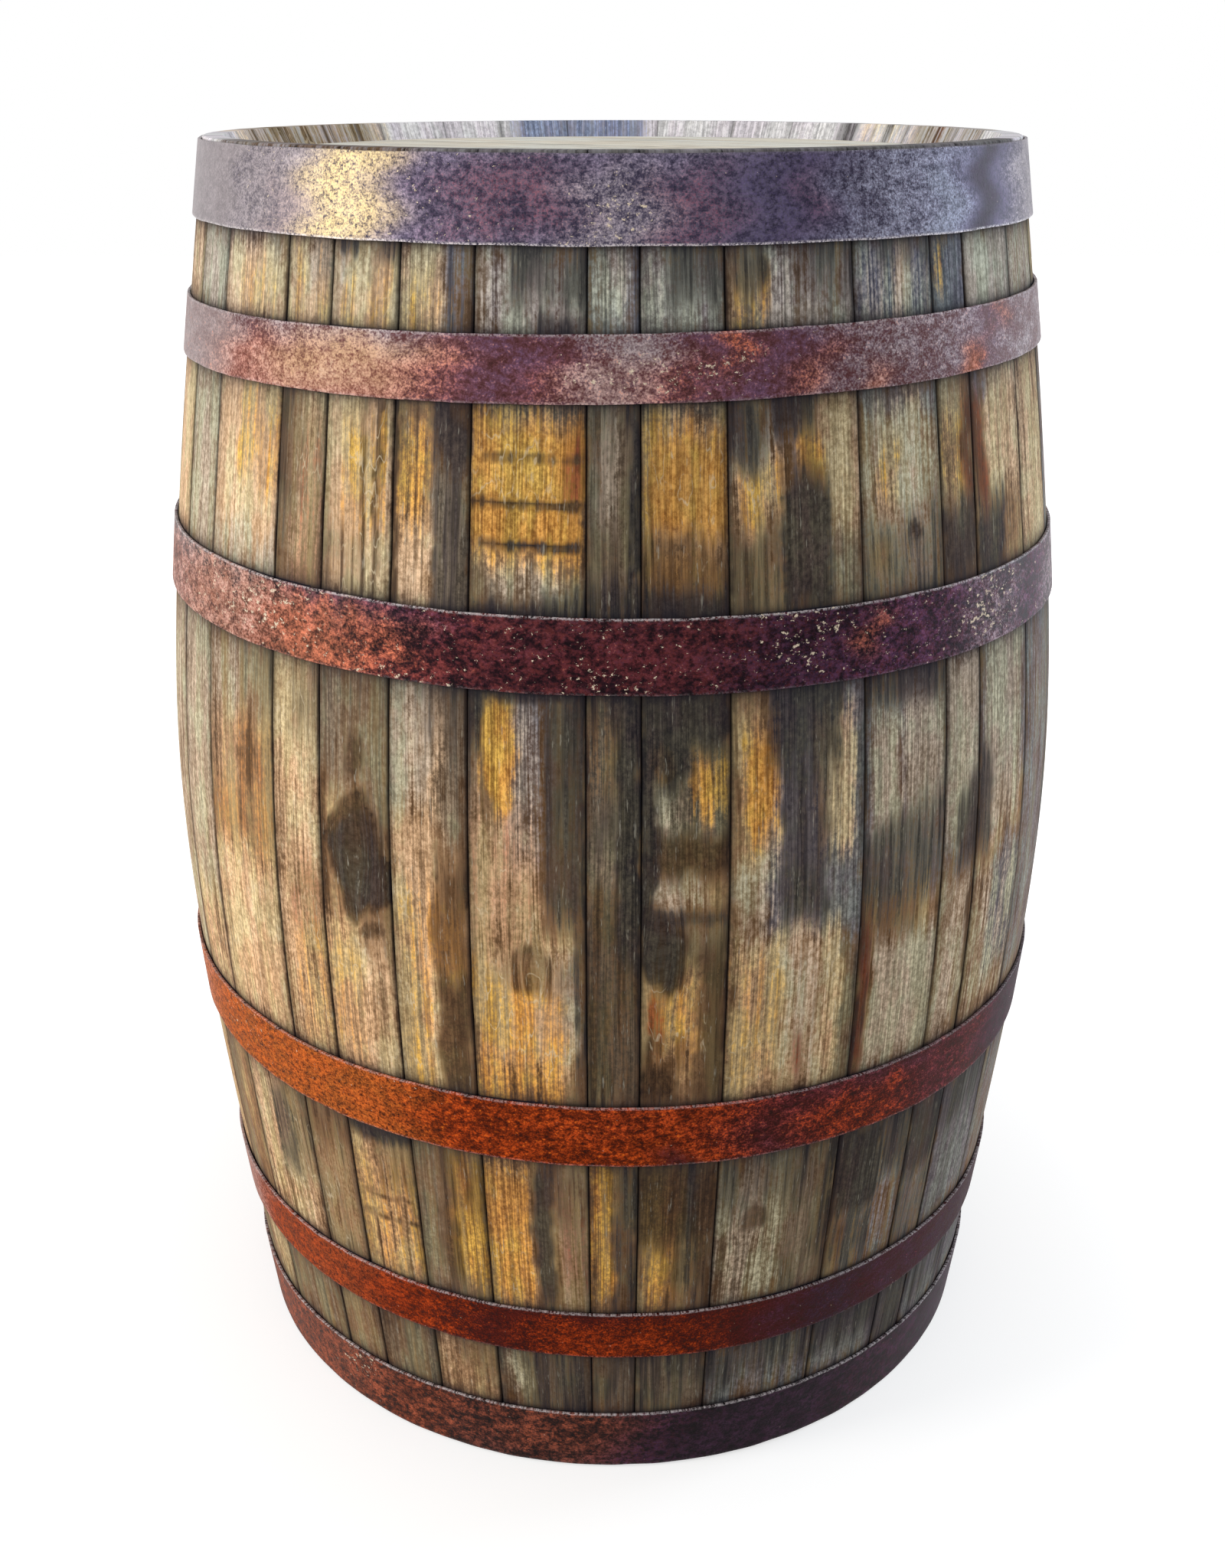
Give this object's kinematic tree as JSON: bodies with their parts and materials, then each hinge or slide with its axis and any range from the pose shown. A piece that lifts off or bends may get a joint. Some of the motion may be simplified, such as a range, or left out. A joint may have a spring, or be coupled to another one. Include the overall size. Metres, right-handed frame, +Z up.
{
  "type": "oak wine barrel",
  "caption": "Upright bulging oak cask of bent staves bound by riveted steel hoops, with boarded heads set in grooves and a side bung.",
  "frame": {"origin": "middle of the foot, on the plane of the lower stave ends", "axes": "+Z up along the barrel's axis; -Y towards the side that the picture shows; the bung faces +Y"},
  "size_m": [0.6596, 0.6666, 0.9],
  "materials": {
    "weathered_oak": "weathered oak, tan to grey with blue-black stains",
    "head_oak": "pale bleached oak",
    "bung_wood": "turned hardwood, hand worn",
    "rusted_hoop_steel": "rusted mild steel strip, maroon to orange, worn to bare metal in places",
    "rivet_steel": "rusted mild steel"
  },
  "bodies": {
    "barrel": {"stave_01": "weathered_oak", "stave_02": "weathered_oak", "stave_03": "weathered_oak", "stave_04": "weathered_oak", "stave_05": "weathered_oak", "stave_06": "weathered_oak", "stave_07": "weathered_oak", "stave_08": "weathered_oak", "stave_09": "weathered_oak", "stave_10": "weathered_oak", "stave_11": "weathered_oak", "stave_12": "weathered_oak", "stave_13": "weathered_oak", "stave_14": "weathered_oak", "stave_15": "weathered_oak", "stave_16": "weathered_oak", "stave_17": "weathered_oak", "stave_18": "weathered_oak", "stave_19": "weathered_oak", "stave_20": "weathered_oak", "stave_21": "weathered_oak", "bung_stave": "weathered_oak", "stave_23": "weathered_oak", "stave_24": "weathered_oak", "stave_25": "weathered_oak", "stave_26": "weathered_oak", "stave_27": "weathered_oak", "stave_28": "weathered_oak", "stave_29": "weathered_oak", "stave_30": "weathered_oak", "stave_31": "weathered_oak", "top_head_hoop": "rusted_hoop_steel", "upper_quarter_hoop": "rusted_hoop_steel", "upper_bilge_hoop": "rusted_hoop_steel", "lower_bilge_hoop": "rusted_hoop_steel", "lower_quarter_hoop": "rusted_hoop_steel", "bottom_head_hoop": "rusted_hoop_steel", "top_head_hoop_rivet_1": "rivet_steel", "top_head_hoop_rivet_2": "rivet_steel", "upper_quarter_hoop_rivet_1": "rivet_steel", "upper_quarter_hoop_rivet_2": "rivet_steel", "upper_bilge_hoop_rivet_1": "rivet_steel", "upper_bilge_hoop_rivet_2": "rivet_steel", "lower_bilge_hoop_rivet_1": "rivet_steel", "lower_bilge_hoop_rivet_2": "rivet_steel", "lower_quarter_hoop_rivet_1": "rivet_steel", "lower_quarter_hoop_rivet_2": "rivet_steel", "bottom_head_hoop_rivet_1": "rivet_steel", "bottom_head_hoop_rivet_2": "rivet_steel", "top_head_board_1": "head_oak", "top_head_board_2": "head_oak", "top_head_board_3": "head_oak", "top_head_board_4": "head_oak", "top_head_board_5": "head_oak", "bottom_head_board_1": "head_oak", "bottom_head_board_2": "head_oak", "bottom_head_board_3": "head_oak", "bottom_head_board_4": "head_oak", "bottom_head_board_5": "head_oak"},
    "bung": {"bung": "bung_wood"}
  },
  "joints": [
    {"name": "bung_pull", "type": "slide", "parent": "barrel", "child": "bung", "axis": [0, 1, 0], "range_m": [0, 0.09]}
  ]
}
